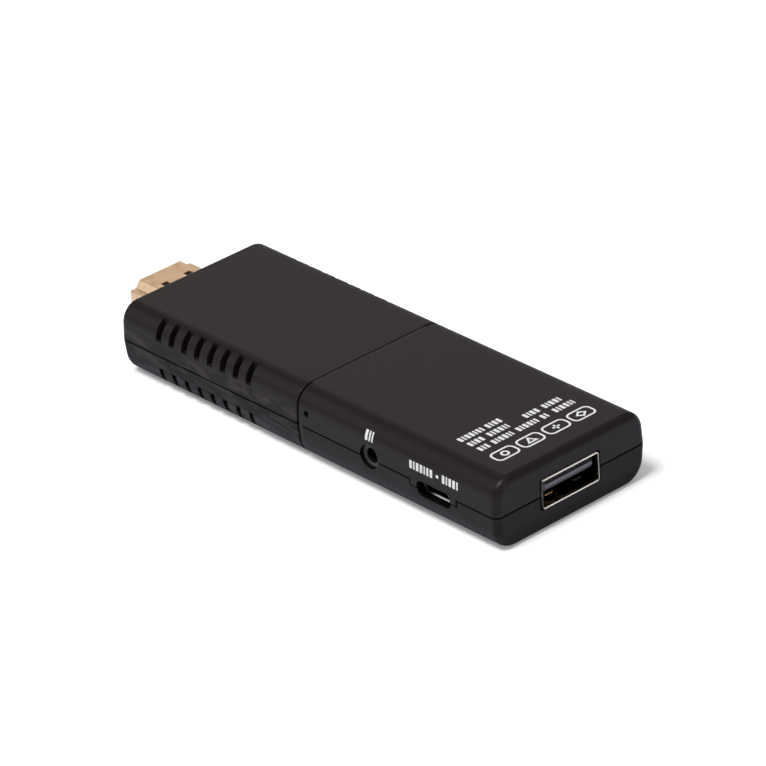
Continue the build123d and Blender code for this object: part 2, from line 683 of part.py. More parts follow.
def sensor_jack_body(springs):
    back = JACK_FRONT + JACK_BODY_LENGTH
    body = block(
        JACK_X - JACK_BODY_WIDTH / 2, JACK_X + JACK_BODY_WIDTH / 2, JACK_FRONT, back,
        BOARD_TOP, BOARD_TOP + JACK_BODY_HEIGHT,
    )
    body += rod_y(JACK_X, JACK_Z, JACK_NOSE_D / 2, JACK_NOSE_TIP, JACK_FRONT + 0.5)
    body -= rod_y(JACK_X, JACK_Z, JACK_BORE_R, JACK_NOSE_TIP - PAST, back - 0.8)
    mouth = [
        e for e in body.edges()
        if abs(e.center().Y - JACK_NOSE_TIP) < 1e-4 and abs(e.radius - JACK_BORE_R) < 1e-4
    ]
    return chamfer(mouth, 0.15) - springs


# Reset switch behind the pinhole

SWITCH_BACK = -10.9
SWITCH_FRONT = SWITCH_BACK - 2.6
SWITCH_HALF = 2.2
SWITCH_RISE = 1.35
PLUNGER_R = 0.7
PLUNGER_TIP = SWITCH_FRONT - 0.9
PLUNGER_TRAVEL = 0.25
PLUNGER_FIT = 0.05
FLANGE_R = 1.0
FLANGE_THICK = 0.5
PLATE = 0.3
CHAMBER_DEPTH = 1.3
DOME_R = 1.05
DOME_TOP_R = 0.45
DOME_RISE = 0.25
DOME_SHEET = 0.08


def reset_switch_base():
    """Plastic block with a round chamber that opens to the front."""
    body = block(
        PINHOLE_X - SWITCH_HALF, PINHOLE_X + SWITCH_HALF, SWITCH_FRONT + PLATE, SWITCH_BACK,
        PINHOLE_Z - SWITCH_HALF, PINHOLE_Z + SWITCH_RISE,
    )
    chamber_end = SWITCH_FRONT + PLATE + CHAMBER_DEPTH
    return body - rod_y(PINHOLE_X, PINHOLE_Z, FLANGE_R + 0.08, SWITCH_FRONT, chamber_end)


def reset_switch_bracket():
    """Metal front plate with two long legs through which the switch stands on the board."""
    half = SWITCH_HALF + 0.05
    plate = block(
        PINHOLE_X - half - PLATE, PINHOLE_X + half + PLATE, SWITCH_FRONT, SWITCH_FRONT + PLATE,
        PINHOLE_Z - SWITCH_HALF, PINHOLE_Z + SWITCH_RISE,
    )
    for side in (-1, 1):
        x_edges = sorted((PINHOLE_X + side * half, PINHOLE_X + side * (half + PLATE)))
        plate += block(*x_edges, SWITCH_FRONT, SWITCH_BACK, BOARD_TOP, PINHOLE_Z + SWITCH_RISE)
    y_edges = (SWITCH_FRONT - PAST, SWITCH_FRONT + PLATE + 0.1)
    return plate - rod_y(PINHOLE_X, PINHOLE_Z, PLUNGER_R + PLUNGER_FIT, *y_edges)


def reset_switch_plunger():
    flange_y = SWITCH_FRONT + PLATE + 0.02
    stem = rod_y(PINHOLE_X, PINHOLE_Z, PLUNGER_R, PLUNGER_TIP, flange_y + FLANGE_THICK)
    return stem + rod_y(PINHOLE_X, PINHOLE_Z, FLANGE_R, flange_y, flange_y + FLANGE_THICK)


def reset_switch_dome():
    """Snap dome at the back of the chamber, set just past the plunger's travel."""
    back = SWITCH_FRONT + PLATE + CHAMBER_DEPTH
    cone = Rot(90, 0, 0) * Cone(DOME_R, DOME_TOP_R, DOME_RISE)
    outside = Pos(PINHOLE_X, back - DOME_RISE / 2, PINHOLE_Z) * cone
    inside = Pos(PINHOLE_X, back - DOME_RISE / 2 + DOME_SHEET, PINHOLE_Z) * cone
    return outside - inside


# Chips and other parts on the board

SOC_X = -19.5
SOC_SIZE = 14.0
SOC_HEIGHT = 1.2
PAD_HEIGHT = 0.8
SINK_LENGTH = 24.0
SINK_WIDTH = 20.0
SINK_BASE = 1.2
FIN_HEIGHT = 2.4
FIN_THICK = 0.9
FIN_COUNT = 8
MEMORY_X = -4.2
MEMORY_Y = 6.6
MEMORY_SIZE = (9.0, 13.0, 1.0)
RADIO = (29.0, 7.6, BOARD_TOP)
RADIO_SIZE = 12.0
RADIO_BOARD = 0.5
ANTENNA_X = (37.6, 43.8)
ANTENNA_Y = (8.6, 14.2)
ANTENNA_RISE = 3.2
ANTENNA_SHEET = 0.25
ANTENNA_WIDTH = 1.2


def heat_sink():
    z = BOARD_TOP + SOC_HEIGHT + PAD_HEIGHT
    sink = chip(SOC_X, 0, z, SINK_LENGTH, SINK_WIDTH, SINK_BASE)
    step = (SINK_WIDTH - FIN_THICK) / (FIN_COUNT - 1)
    for i in range(FIN_COUNT):
        y = -SINK_WIDTH / 2 + FIN_THICK / 2 + i * step
        sink += chip(SOC_X, y, z + SINK_BASE, SINK_LENGTH, FIN_THICK, FIN_HEIGHT)
    return sink


def memory_chips():
    """Two chips above the board and two below them."""
    length, width, height = MEMORY_SIZE
    solids = []
    for y in (-MEMORY_Y, MEMORY_Y):
        for z in (BOARD_TOP, BOARD_BOTTOM - height):
            solids.append(chip(MEMORY_X, y, z, length, width, height))
    return solids


def rounded_chip(x, y, z, length, width, height, radius):
    body = chip(x, y, z, length, width, height)
    return fillet(body.edges().filter_by(Axis.Z), radius)


def radio_module_shield():
    """Thin metal can with an open underside."""
    x, y, z = RADIO
    lid = rounded_chip(x, y, z + RADIO_BOARD, RADIO_SIZE - 0.6, RADIO_SIZE - 0.6, 1.4, 0.4)
    return lid - chip(x, y, z + RADIO_BOARD - 0.5, RADIO_SIZE - 0.9, RADIO_SIZE - 0.9, 1.75)


def radio_antenna():
    """Stamped metal strip on two feet, a folded F."""
    x0, x1 = ANTENNA_X
    y0, y1 = ANTENNA_Y
    z0 = BOARD_TOP + ANTENNA_RISE
    z1 = z0 + ANTENNA_SHEET
    strip = block(x0, x1, y1 - ANTENNA_WIDTH, y1, z0, z1)
    strip += block(x0, x0 + ANTENNA_WIDTH, y0, y1, z0, z1)
    strip += block(x0, x0 + ANTENNA_WIDTH, y0, y0 + ANTENNA_SHEET, BOARD_TOP, z1)
    strip += block(x0, x0 + ANTENNA_SHEET, y1 - ANTENNA_WIDTH, y1, BOARD_TOP, z1)
    return strip


def power_inductors():
    places = [(28.2, -10.6), (14.8, -6.2), (-30.0, -8.6), (-30.0, 10.2)]
    return [rounded_chip(x, y, BOARD_TOP, 3.6, 3.6, 1.8, 0.5) for x, y in places]


def bulk_capacitors():
    places = [(33.4, -4.6), (33.4, -1.2), (10.2, -2.9), (10.2, -5.3)]
    return [chip(x, y, BOARD_TOP, 3.2, 1.7, 1.6) for x, y in places]


def grid(x0, y0, columns, rows, step_x, step_y):
    return [(x0 + i * step_x, y0 + j * step_y) for i in range(columns) for j in range(rows)]


def small_capacitors():
    """Decoupling capacitors under the processor, and a row beside the memory and the radio."""
    under = grid(-25.0, -5.0, 6, 5, 2.2, 2.5)
    above = grid(-31.0, -4.5, 1, 6, 1.0, 1.9) + grid(25.5, -0.4, 4, 1, 1.9, 1.0)
    solids = [chip(x, y, BOARD_BOTTOM - 0.5, 1.0, 0.5, 0.5) for x, y in under]
    return solids + [chip(x, y, BOARD_TOP, 1.0, 0.5, 0.5) for x, y in above]


def small_resistors():
    places = grid(16.8, 12.9, 4, 1, 1.8, 1.0)
    places += grid(9.4, -10.3, 1, 4, 1.0, 1.2)
    places += grid(44.5, -9.6, 3, 1, 1.8, 1.0)
    return [chip(x, y, BOARD_TOP, 1.0, 0.5, 0.35) for x, y in places]


def regulator_chips():
    places = [(14.8, -10.2), (28.2, -6.9), (-30.0, -12.6)]
    return [chip(x, y, BOARD_TOP, 2.9, 1.6, 1.0) for x, y in places]


def surge_arrays():
    return [chip(-28.6, y, BOARD_TOP, 1.2, 2.4, 0.5) for y in (-3.4, 5.0)]


def write_parts():
    save("front_upper_shell", front_upper_shell())
    save("front_lower_shell", front_lower_shell())
    save("rear_upper_shell", rear_upper_shell())
    save("rear_lower_shell", rear_lower_shell())
    save("seam_collar", seam_collar())
    save("main_board", main_board())
    save("display_plug_shell", display_plug_shell())
    pins = plug_pins()
    save("display_plug_contacts", group(pins))
    save("display_plug_insulator", display_plug_insulator(pins))
    save("host_socket_shell", host_socket_shell())
    pins = host_socket_pins()
    save("host_socket_contacts", group(pins))
    save("host_socket_insulator", host_socket_insulator(pins))
    save("power_socket_shell", power_socket_shell())
    pins = power_pins()
    save("power_socket_contacts", group(pins))
    save("power_socket_insulator", power_socket_insulator(pins))
    springs = jack_springs()
    save("sensor_jack_contacts", group(springs))
    save("sensor_jack_body", sensor_jack_body(springs))
    save("reset_switch_base", reset_switch_base())
    save("reset_switch_bracket", reset_switch_bracket())
    save("reset_switch_plunger", reset_switch_plunger())
    save("reset_switch_dome", reset_switch_dome())
    save("processor_chip", chip(SOC_X, 0, BOARD_TOP, SOC_SIZE, SOC_SIZE, SOC_HEIGHT))
    save("heat_pad", chip(SOC_X, 0, BOARD_TOP + SOC_HEIGHT, SOC_SIZE - 1, SOC_SIZE - 1, PAD_HEIGHT))
    save("heat_sink", heat_sink())
    save("memory_chips", group(memory_chips()))
    save("flash_chip", chip(17.0, 4.5, BOARD_TOP, 11.5, 13.0, 1.0))
    save("power_manager_chip", chip(28.6, -3.4, BOARD_TOP, 5.0, 4.0, 0.9))
    x, y, z = RADIO
    save("radio_module_board", chip(x, y, z, RADIO_SIZE, RADIO_SIZE, RADIO_BOARD))
    save("radio_module_shield", radio_module_shield())
    save("radio_chip", chip(x, y, z + RADIO_BOARD, 5.0, 5.0, 0.8))
    save("radio_antenna", radio_antenna())
    save("main_crystal", rounded_chip(-10.8, 12.6, BOARD_TOP, 3.2, 2.5, 0.8, 0.3))
    save("clock_crystal", rounded_chip(33.2, -7.9, BOARD_TOP, 3.2, 1.5, 0.8, 0.2))
    save("power_inductors", group(power_inductors()))
    save("bulk_capacitors", group(bulk_capacitors()))
    save("small_capacitors", group(small_capacitors()))
    save("small_resistors", group(small_resistors()))
    save("regulator_chips", group(regulator_chips()))
    save("surge_arrays", group(surge_arrays()))


write_parts()
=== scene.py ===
"""The looks of a flat plug-in streaming stick: materials, printed marks, studio and camera."""
import math
import bmesh
import bpy
from mathutils import Matrix, Vector


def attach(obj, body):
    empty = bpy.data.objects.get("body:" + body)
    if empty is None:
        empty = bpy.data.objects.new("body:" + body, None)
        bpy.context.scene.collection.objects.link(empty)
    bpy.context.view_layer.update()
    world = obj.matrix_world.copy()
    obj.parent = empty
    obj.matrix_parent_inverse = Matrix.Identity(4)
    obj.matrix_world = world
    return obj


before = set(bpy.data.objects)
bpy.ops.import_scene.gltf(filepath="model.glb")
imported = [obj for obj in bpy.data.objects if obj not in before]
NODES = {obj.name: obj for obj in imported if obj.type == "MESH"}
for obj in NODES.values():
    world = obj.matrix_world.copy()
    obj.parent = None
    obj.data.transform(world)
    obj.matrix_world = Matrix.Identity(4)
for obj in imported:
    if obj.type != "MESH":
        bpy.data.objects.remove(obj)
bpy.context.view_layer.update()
MM = 0.001

# Sizes of the casing that the printed marks follow, in millimetres
CASE_TOP = 13.3
CASE_HALF_WIDTH = 17.0
PARTING_Z = 6.8
TOP_EDGE_R = 3.6
UPPER_SIDE_SLOPE = 0.075
INK_LIFT = 0.012

# The seam across the top and the edge behind it, as spans along X, Y and Z in millimetres,
# each with how many times paler it is painted: painted light in the groove, a painted highlight on the
# edge
SEAM_GROOVE = ((3.95, 4.45), (-12.9, 12.9), (12.9, 13.2))
SEAM_EDGE = ((4.5, 4.74), (-13.2, 13.2), (13.0, 13.4))
PAINTED_SEAM_LIGHT = ((SEAM_GROOVE, 5.5), (SEAM_EDGE, 2.2))
SEAM_FADE = 0.02
# Where the walls of the side openings are
POWER_HOLE = ((33.3, 41.7), (-16.6, -14.6), (4.3, 7.5))
JACK_HOLE = ((19.5, 24.4), (-16.62, -14.6), (4.8, 9.35))

# How strong the casing's streaks are along each axis, painted reflections in its colour that also change
# its gloss: places in millimetres and the strength there
STREAKS_X = [(-42.0, 1.0), (4.0, 1.0), (4.2, 0.25), (53.0, 0.25)]
STREAKS_Y = [(-15.9, 1.0), (-14.9, 0.0), (15.2, 0.0), (16.2, 0.4)]
STREAKS_Z = [(1.5, 0.0), (3.0, 1.0), (8.5, 1.0), (10.5, 0.0)]
# How much paler and rougher the lower rounding is, by height
PALER_FOOT_Z = [(1.2, 1.0), (2.0, 0.9), (3.4, 0.0), (5.0, 0.0)]
# Where the plastic in the jack and on the host socket's tongue goes into deep shade
JACK_SHADE = ("Y", [(-16.4, 0.0), (-16.24, 0.0), (-16.1, 0.7), (-15.8, 1.0)])
TONGUE_SHADE = ("Z", [
    (7.0, 0.75), (7.9, 0.75), (8.05, 0.15), (8.42, 0.0), (8.55, 0.93), (9.0, 0.93),
])

# Sizes and depths of the patterns in the materials, in millimetres
GRAIN = 0.16
GRAIN_DEPTH = 0.004
CLOUDS = 9.0
SPECKS = 1.7
WAVES = 2.4
STREAKS = 2.6
DRAWN_LINES = 0.5
FINE_DRAWN_LINES = 0.4
DRAWN_DEPTH = 0.0025
SMUDGES = 1.7
WIDE_SMUDGES = 2.2
SMUDGE_DEPTH = 0.004
TRACKS = 7.0
TRACK_DEPTH = 0.012
PLATED_DOTS = 1.3
LACQUER_RIPPLE = 0.25
LACQUER_DEPTH = 0.002
CERAMIC_GRAIN = 0.3
TINNED_ENDS = 3.2
INK_PATCHES = 0.18
FIRED_DEPTH = 0.003
INK_DEPTH = 0.003

# How the place is scaled for lines drawn along X or Y, and for streaks along X
DRAWN_X = (1.0, 6.0, 6.0)
DRAWN_Y = (6.0, 1.0, 6.0)
DRAWN_IN_SLOT = (1.0, 5.0, 6.0)
STREAKED_X = (0.22, 1.0, 1.0)

# A noise seldom goes outside these two values
NOISE_LOW = 0.3
NOISE_HIGH = 0.7
# How far the grain of plastic changes its colour, as a share of it, and its roughness
TONE_SPREAD = 0.12
ROUGHNESS_SPREAD = 0.06

# Sockets of a mix node's colours, which share their names with those of its other types
MIX_A = 6
MIX_B = 7
MIX_RESULT = 2


# Materials

class Maker:
    """A Principled material and the nodes that give it its detail."""

    def __init__(self, name, roughness, metallic=0.0, specular=0.5, coat=0.0, coat_roughness=0.1):
        self.mat = bpy.data.materials.new(name)
        self.mat.use_nodes = True
        self.tree = self.mat.node_tree
        self.shader = self.tree.nodes["Principled BSDF"]
        self.shader.inputs["Roughness"].default_value = roughness
        self.shader.inputs["Metallic"].default_value = metallic
        self.shader.inputs["Specular IOR Level"].default_value = specular
        self.shader.inputs["Coat Weight"].default_value = coat
        self.shader.inputs["Coat Roughness"].default_value = coat_roughness
        self.place = self.node("ShaderNodeTexCoord").outputs["Object"]

    def node(self, kind, **settings):
        made = self.tree.nodes.new(kind)
        for key, value in settings.items():
            setattr(made, key, value)
        return made

    def link(self, out, into):
        self.tree.links.new(out, into)

    def stretched(self, x, y, z):
        """The place on the object, scaled unevenly, for brushed or drawn patterns."""
        mapping = self.node("ShaderNodeMapping")
        mapping.inputs["Scale"].default_value = (x, y, z)
        self.link(self.place, mapping.inputs["Vector"])
        return mapping.outputs["Vector"]

    def noise(self, size_mm, detail=3.0, rough=0.5, vector=None, distortion=0.0):
        made = self.node("ShaderNodeTexNoise")
        made.inputs["Scale"].default_value = 1.0 / (size_mm * MM)
        made.inputs["Detail"].default_value = detail
        made.inputs["Roughness"].default_value = rough
        made.inputs["Distortion"].default_value = distortion
        self.link(vector or self.place, made.inputs["Vector"])
        return made.outputs["Fac"]

    def drawn_lines(self, size_mm, stretch):
        """The fine lines that drawing leaves in sheet metal."""
        return self.noise(size_mm, detail=4.0, rough=0.7, vector=self.stretched(*stretch))

    def smudges(self, size_mm):
        """Blurred patches such as handling leaves on metal."""
        return self.noise(size_mm, detail=3.0, rough=0.6, distortion=0.6)

    def cells(self, size_mm):
        made = self.node("ShaderNodeTexVoronoi")
        made.inputs["Scale"].default_value = 1.0 / (size_mm * MM)
        self.link(self.place, made.inputs["Vector"])
        return made.outputs["Distance"]

    def ramp(self, value, stops):
        """Maps a value to colours. stops is a list of (place, colour or grey)."""
        made = self.node("ShaderNodeValToRGB")
        elements = made.color_ramp.elements
        while len(elements) < len(stops):
            elements.new(0.5)
        for element, (place, colour) in zip(elements, stops):
            if isinstance(colour, (int, float)):
                colour = (colour, colour, colour)
            element.position = place
            element.color = (*colour, 1.0)
        self.link(value, made.inputs["Fac"])
        return made.outputs["Color"]

    def two_tone(self, noise, low, high):
        """Lets a noise run between two colours or greys."""
        return self.ramp(noise, [(NOISE_LOW, low), (NOISE_HIGH, high)])

    def along(self, axis, stops):
        """A ramp along one axis. stops is a list of (place in millimetres, colour or grey)."""
        low = stops[0][0]
        high = stops[-1][0]
        split = self.node("ShaderNodeSeparateXYZ")
        self.link(self.place, split.inputs["Vector"])
        made = self.node("ShaderNodeMapRange")
        made.inputs["From Min"].default_value = low * MM
        made.inputs["From Max"].default_value = high * MM
        self.link(split.outputs[axis], made.inputs["Value"])
        return self.ramp(made.outputs["Result"], [((x - low) / (high - low), c) for x, c in stops])

    def times(self, first, *others):
        """The values multiplied with each other."""
        product = first
        for other in others:
            made = self.node("ShaderNodeMath", operation="MULTIPLY")
            self.link(product, made.inputs[0])
            self.link(other, made.inputs[1])
            product = made.outputs["Value"]
        return product

    def inside(self, box, soft=0.15):
        """1 within a box given in millimetres, fading to 0 over a short way outside it."""
        return self.times(*[
            self.along(axis, [(low - soft, 0.0), (low, 1.0), (high, 1.0), (high + soft, 0.0)])
            for axis, (low, high) in zip("XYZ", box)
        ])

    def mix(self, factor, a, b):
        """Goes from a to b. Each is an output or a plain colour."""
        made = self.node("ShaderNodeMix", data_type="RGBA")
        self.link(factor, made.inputs["Factor"])
        for socket, value in ((MIX_A, a), (MIX_B, b)):
            if isinstance(value, tuple):
                made.inputs[socket].default_value = (*value, 1.0)
            else:
                self.link(value, made.inputs[socket])
        return made.outputs[MIX_RESULT]

    def colour(self, out):
        self.link(out, self.shader.inputs["Base Color"])

    def roughness(self, noise, low, high):
        """Lets the roughness follow a noise from low to high."""
        made = self.node("ShaderNodeMapRange")
        made.inputs["From Min"].default_value = NOISE_LOW
        made.inputs["From Max"].default_value = NOISE_HIGH
        made.inputs["To Min"].default_value = low
        made.inputs["To Max"].default_value = high
        self.link(noise, made.inputs["Value"])
        self.link(made.outputs["Result"], self.shader.inputs["Roughness"])

    def bump(self, *layers):
        """Height layers as (value, depth in millimetres), stacked."""
        below = None
        for value, depth in layers:
            made = self.node("ShaderNodeBump")
            made.inputs["Distance"].default_value = depth * MM
            self.link(value, made.inputs["Height"])
            if below is not None:
                self.link(below, made.inputs["Normal"])
            below = made.outputs["Normal"]
        self.link(below, self.shader.inputs["Normal"])


def tinted(colour, times):
    """A colour made darker or paler."""
    return tuple(c * times for c in colour)


def shades(colour, spread):
    """A darker and a paler version of a colour."""
    return tinted(colour, 1 - spread), tuple(min(1.0, c) for c in tinted(colour, 1 + spread))


def grained(m, colour, grain_mm=GRAIN, depth=GRAIN_DEPTH):
    """Gives plastic the fine grain of a spark-eroded mould and a slight waviness.

    Returns the grain, and the colour with slight clouding and a few dust specks.
    """
    grain = m.noise(grain_mm, detail=4.0, rough=0.6)
    m.bump((grain, depth), (m.noise(WAVES, detail=1.0), depth * 1.5))
    dust = tuple(c * 2.0 + 0.01 for c in colour)
    specks = m.ramp(m.cells(SPECKS), [(0.0, dust), (0.045, colour)])
    clouds = m.ramp(m.noise(CLOUDS, detail=2.0), [(0.35, 0.0), (0.75, 0.35)])
    return grain, m.mix(clouds, m.two_tone(grain, *shades(colour, TONE_SPREAD)), specks)


def moulded(name, colour, roughness, grain_mm=GRAIN, depth=GRAIN_DEPTH, shade=None):
    """Moulded plastic. shade is (axis, stops) of a ramp along which it goes into deep shade."""
    m = Maker(name, roughness)
    grain, tone = grained(m, colour, grain_mm, depth)
    if shade:
        tone = m.mix(m.along(*shade), tone, m.two_tone(grain, 0.002, 0.005))
    m.colour(tone)
    m.roughness(grain, roughness - ROUGHNESS_SPREAD, roughness + ROUGHNESS_SPREAD)
    return m.mat


def casing_plastic(name, colour, roughness, specular):
    """The casing's plastic: streaks of painted reflection and gloss on its sides, painted light at the
    seam, painted deep shade in its openings.
    """
    m = Maker(name, roughness, specular=specular)
    grain, tone = grained(m, colour)
    streaks = m.noise(STREAKS, detail=3.0, rough=0.55, vector=m.stretched(*STREAKED_X), distortion=0.9)
    streak_reflection_and_gloss = m.times(m.along("X", STREAKS_X), m.along("Y", STREAKS_Y), m.along("Z", STREAKS_Z))
    # The streaks' darker and paler colours are painted reflections
    dark, pale = tinted(colour, 0.25), tinted(colour, 2.1)
    tone = m.mix(streak_reflection_and_gloss, tone, m.ramp(streaks, [
        (0.36, pale), (0.45, colour), (0.52, dark), (0.56, colour), (0.66, pale), (0.74, dark),
    ]))
    # The seam's groove is painted paler as painted light, and the edge behind it as a painted highlight
    for box, times in PAINTED_SEAM_LIGHT:
        seam_light = shades((colour[1] * times,) * 3, 0.13)
        tone = m.mix(m.inside(box, SEAM_FADE), tone, m.two_tone(grain, *seam_light))
    deep_shade = m.two_tone(grain, 0.002, 0.004)
    for box in (POWER_HOLE, JACK_HOLE):
        tone = m.mix(m.inside(box), tone, deep_shade)
    # The lower rounding is paler and rougher towards the bottom
    foot = m.along("Z", PALER_FOOT_Z)
    m.colour(m.mix(foot, tone, m.two_tone(grain, tinted(colour, 1.1), tinted(colour, 1.4))))

    # The streaks and the paler lower rounding have a gloss of their own
    gloss = m.mix(streak_reflection_and_gloss, grain, m.ramp(streaks, [(0.4, 0.35), (0.52, 0.75), (0.64, 0.3)]))
    gloss = m.two_tone(gloss, roughness - ROUGHNESS_SPREAD, roughness + ROUGHNESS_SPREAD)
    m.link(m.mix(foot, gloss, m.two_tone(grain, 0.6, 0.7)), m.shader.inputs["Roughness"])
    return m.mat


def sheet_metal(name, colour, roughness, drawn=DRAWN_X, tarnish=(0.55, 0.4, 0.28), amount=0.25):
    """Plated or bare sheet with fine drawing lines, handling smudges and a slight tarnish.

    tarnish is what full tarnish does to the colour, and amount how much of it the smudges have.
    """
    m = Maker(name, roughness, metallic=1.0)
    lines = m.drawn_lines(DRAWN_LINES, drawn)
    smudges = m.smudges(SMUDGES)
    tarnished = tuple(c * t for c, t in zip(colour, tarnish))
    mask = m.ramp(smudges, [(0.52, 0.0), (0.68, amount)])
    m.colour(m.mix(mask, m.two_tone(lines, *shades(colour, 0.07)), tarnished))
    m.roughness(smudges, roughness - 0.05, roughness + 0.1)
    m.bump((lines, DRAWN_DEPTH), (smudges, SMUDGE_DEPTH))
    return m.mat


def socket_sheet():
    """Gold-coloured rim with painted shade at its ends; inside, the sheet is painted in deep shade, but
    for the bent leaf springs towards -Y.
    """
    m = Maker("socket_plating", 0.26, metallic=1.0)
    lines = m.drawn_lines(DRAWN_LINES, DRAWN_X)
    smudges = m.smudges(WIDE_SMUDGES)
    rim = m.two_tone(lines, (0.94, 0.85, 0.69), (1.0, 0.93, 0.8))
    painted_rim_shade = m.ramp(smudges, [(0.35, (0.02, 0.018, 0.018)), (0.65, (0.12, 0.1, 0.085))])
    # The rim's ends are painted in shade
    shaded_rim_ends = m.along("Y", [
        (-7.05, 1.0), (-6.72, 0.97), (-6.5, 0.1), (-6.2, 0.0), (5.5, 0.0), (5.75, 0.6), (6.05, 0.75),
    ])
    rim = m.mix(shaded_rim_ends, rim, painted_rim_shade)
    shade = m.two_tone(lines, (0.012, 0.010, 0.010), (0.03, 0.022, 0.016))
    spring = m.ramp(smudges, [(0.3, (0.75, 0.42, 0.16)), (0.6, (0.95, 0.68, 0.4))])
    # The springs further along Y are mostly left in the painted shade
    springs_y = m.along("Y", [
        (-5.5, 0.0), (-5.3, 1.0), (-2.2, 1.0), (-1.7, 0.12), (3.9, 0.12), (4.0, 0.0),
    ])
    springs_z = m.along("Z", [(4.3, 0.0), (4.55, 1.0), (5.6, 1.0), (5.8, 0.0)])
    inside = m.mix(m.times(springs_y, springs_z), shade, spring)
    at_rim = m.along("X", [(51.8, 0.0), (52.45, 1.0), (53.0, 1.0)])
    m.colour(m.mix(at_rim, inside, rim))
    m.roughness(smudges, 0.2, 0.34)
    m.bump((lines, DRAWN_DEPTH), (smudges, SMUDGE_DEPTH))
    return m.mat


def power_sheet():
    """Steel edge with a painted highlight at its lower right; the inside of the sheet is painted in deep
    shade.
    """
    m = Maker("socket_steel", 0.3, metallic=1.0)
    lines = m.drawn_lines(FINE_DRAWN_LINES, DRAWN_IN_SLOT)
    # A painted highlight on the edge at the lower right, where the rest is painted in deep shade
    painted_highlight = m.two_tone(lines, (0.5, 0.49, 0.46), (0.62, 0.6, 0.57))
    shade = m.two_tone(lines, (0.01, 0.01, 0.011), (0.025, 0.025, 0.027))
    right = m.along("X", [(35.4, 0.1), (36.8, 1.0), (42.0, 1.0)])
    low = m.along("Z", [(4.0, 1.0), (5.4, 1.0), (5.7, 0.1)])
    inward = m.along("Y", [(-15.6, 0.0), (-15.3, 0.0), (-15.0, 1.0), (-14.4, 1.0)])
    m.colour(m.mix(inward, m.mix(m.times(right, low), shade, painted_highlight), shade))
    m.roughness(lines, 0.24, 0.36)
    m.bump((lines, DRAWN_DEPTH))
    return m.mat


def laminate(name):
    """Lacquered board: green mask over copper tracks, with plated dots."""
    m = Maker(name, 0.35, coat=0.3, coat_roughness=0.2)
    tracks = m.node("ShaderNodeTexBrick", offset=0.5)
    for socket, value in (
        ("Scale", 1.0 / (TRACKS * MM)),
        ("Mortar Size", 0.02),
        ("Mortar Smooth", 0.1),
        ("Color1", (0.006, 0.055, 0.022, 1.0)),
        ("Color2", (0.007, 0.065, 0.028, 1.0)),
        ("Mortar", (0.02, 0.13, 0.05, 1.0)),
    ):
        tracks.inputs[socket].default_value = value
    m.link(m.place, tracks.inputs["Vector"])
    dots = m.cells(PLATED_DOTS)
    plated = m.ramp(dots, [(0.0, (0.75, 0.55, 0.25)), (0.1, (0.006, 0.06, 0.025))])
    on_dot = m.ramp(dots, [(0.09, 1.0), (0.11, 0.0)])
    m.colour(m.mix(on_dot, tracks.outputs["Color"], plated))
    m.bump((m.noise(LACQUER_RIPPLE), LACQUER_DEPTH), (tracks.outputs["Fac"], TRACK_DEPTH))
    return m.mat


def ceramic_with_ends(name, body):
    """Fired ceramic or film body with tinned patches, for the small parts on the board."""
    m = Maker(name, 0.42)
    grain = m.noise(CERAMIC_GRAIN)
    wave = m.node("ShaderNodeTexWave", bands_direction="X", wave_profile="SIN")
    wave.inputs["Scale"].default_value = 1.0 / (TINNED_ENDS * MM)
    m.link(m.place, wave.inputs["Vector"])
    tin = m.ramp(grain, [(0.0, (0.5, 0.5, 0.5)), (1.0, (0.66, 0.65, 0.62))])
    on_tin = m.ramp(wave.outputs["Fac"], [(0.8, 0.0), (0.86, 1.0)])
    m.colour(m.mix(on_tin, m.two_tone(grain, *shades(body, 0.15)), tin))
    m.bump((grain, FIRED_DEPTH))
    return m.mat


def print_ink():
    """White ink with thin patches."""
    m = Maker("print_white", 0.6)
    patches = m.noise(INK_PATCHES, detail=3.0, rough=0.6)
    m.colour(m.ramp(patches, [
        (0.28, (0.55, 0.55, 0.56)), (0.42, (0.84, 0.84, 0.85)), (0.7, (0.9, 0.9, 0.9)),
    ]))
    m.roughness(patches, 0.5, 0.7)
    m.bump((patches, INK_DEPTH))
    return m.mat


casing = casing_plastic("casing_plastic", (0.015, 0.0112, 0.011), 0.38, 0.17)
# A darker, less glossy copy of the casing plastic for the lower shells; its darker colour is painted
# shade of the lower side
casing_low_shaded = casing_plastic("casing_plastic_low_shaded", (0.0125, 0.0102, 0.01), 0.4, 0.12)
black = moulded("insulator_black", (0.012, 0.012, 0.013), 0.45)
jack_grey = moulded("jack_plastic", (0.04, 0.037, 0.039), 0.36, grain_mm=0.3, shade=JACK_SHADE)
tongue = moulded("tongue_plastic", (0.15, 0.145, 0.17), 0.3, grain_mm=0.4, shade=TONGUE_SHADE)
resin = moulded("chip_resin", (0.03, 0.03, 0.032), 0.55, grain_mm=0.08)
ferrite = moulded("ferrite", (0.06, 0.06, 0.064), 0.7, grain_mm=0.2, depth=0.01)
silicone = moulded("pad_silicone", (0.32, 0.37, 0.45), 0.7, grain_mm=0.5, depth=0.02)
knob = moulded("plunger_plastic", (0.6, 0.6, 0.58), 0.4)
gold = sheet_metal("plug_plating", (0.9, 0.67, 0.43), 0.34, tarnish=(0.72, 0.5, 0.45), amount=0.5)
rim_gold = socket_sheet()
steel = power_sheet()
shield = sheet_metal("shield_steel", (0.58, 0.58, 0.56), 0.34)
contact = sheet_metal("contact_plating", (0.88, 0.66, 0.3), 0.25)
sink = sheet_metal("sink_aluminium", (0.68, 0.69, 0.7), 0.38)
dome = sheet_metal("dome_steel", (0.66, 0.65, 0.62), 0.22, drawn=DRAWN_Y)
board = laminate("board_laminate")
tan = ceramic_with_ends("ceramic_tan", (0.38, 0.26, 0.15))
film = ceramic_with_ends("resistor_film", (0.03, 0.03, 0.035))

